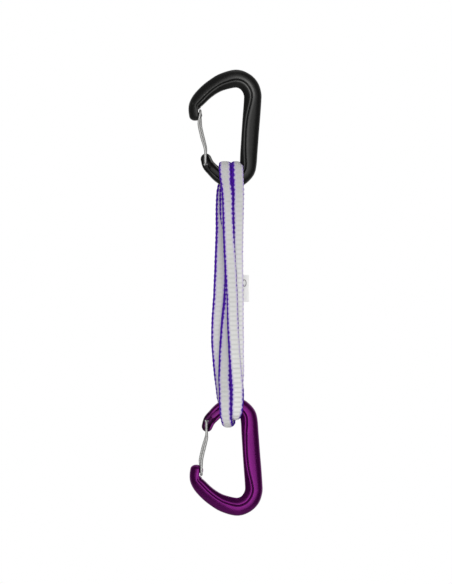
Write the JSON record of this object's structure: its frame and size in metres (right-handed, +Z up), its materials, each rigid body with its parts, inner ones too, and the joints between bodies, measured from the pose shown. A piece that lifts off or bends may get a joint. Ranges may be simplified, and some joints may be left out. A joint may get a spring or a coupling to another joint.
{
  "type": "climbing quickdraw",
  "caption": "Extendable climbing quickdraw: wire-gate carabiners, one black and one purple, joined by a white sewn sling with purple edges, folded in three.",
  "frame": {"origin": "inside of the top carabiner's basket, where the draw hangs from a bolt hanger", "axes": "+Z up along the hanging draw, +X towards the carabiners' spines, +Y through the thin way, away from the front"},
  "size_m": [0.0546, 0.0248, 0.3278],
  "materials": {
    "black_anodised": "satin black anodised",
    "purple_anodised": "polished purple anodised",
    "stainless_wire": "bright drawn stainless wire",
    "webbing": "off-white woven webbing with purple selvages",
    "label_cloth": "smooth white woven label",
    "purple_thread": "dense stitching thread"
  },
  "bodies": {
    "top_carabiner": {"top_carabiner_body": "black_anodised"},
    "top_gate": {"top_wire_gate": "stainless_wire"},
    "sling_upper": {"sling_top_loop_left": "webbing", "sling_top_loop_right": "webbing", "sling_top_loop_under": "webbing"},
    "sling_middle": {"sling_strand_front_left": "webbing", "sling_strand_front_right": "webbing", "sling_strand_front_under": "webbing", "sling_strand_back_left": "webbing", "sling_strand_back_right": "webbing", "sling_strand_back_under": "webbing", "sling_splice_lap": "webbing", "sling_label": "label_cloth", "sling_bar_tack_1": "purple_thread", "sling_bar_tack_2": "purple_thread", "sling_bar_tack_3": "purple_thread"},
    "sling_lower": {"sling_bottom_loop_left": "webbing", "sling_bottom_loop_right": "webbing", "sling_bottom_loop_under": "webbing"},
    "bottom_carabiner": {"bottom_carabiner_body": "purple_anodised"},
    "bottom_gate": {"bottom_wire_gate": "stainless_wire"}
  },
  "joints": [
    {"name": "top_gate_hinge", "type": "hinge", "parent": "top_carabiner", "child": "top_gate", "pos_m": [-0.0226, 0, -0.0564], "axis": [0, 1, 0], "range_deg": [0, 36], "stiffness_Nm_per_rad": 0.25, "springref_deg": -34.38},
    {"name": "top_bar_swing", "type": "hinge", "parent": "top_carabiner", "child": "sling_upper", "pos_m": [-0.0024, 0, -0.0665], "axis": [1, 0, 0], "range_deg": [-60, 60]},
    {"name": "sling_bend", "type": "hinge", "parent": "sling_upper", "child": "sling_middle", "pos_m": [-0.004, 0, -0.102], "axis": [1, 0, 0], "range_deg": [-45, 45]},
    {"name": "sling_twist", "type": "hinge", "parent": "sling_middle", "child": "sling_lower", "pos_m": [-0.004, 0, -0.184], "axis": [0, 0, 1], "range_deg": [-90, 90]},
    {"name": "bottom_bar_swing", "type": "hinge", "parent": "sling_lower", "child": "bottom_carabiner", "pos_m": [-0.0016, 0, -0.2335], "axis": [1, 0, 0], "range_deg": [-60, 60]},
    {"name": "bottom_gate_hinge", "type": "hinge", "parent": "bottom_carabiner", "child": "bottom_gate", "pos_m": [-0.0218, 0, -0.245], "axis": [0, -1, 0], "range_deg": [0, 36], "stiffness_Nm_per_rad": 0.25, "springref_deg": -34.38}
  ]
}
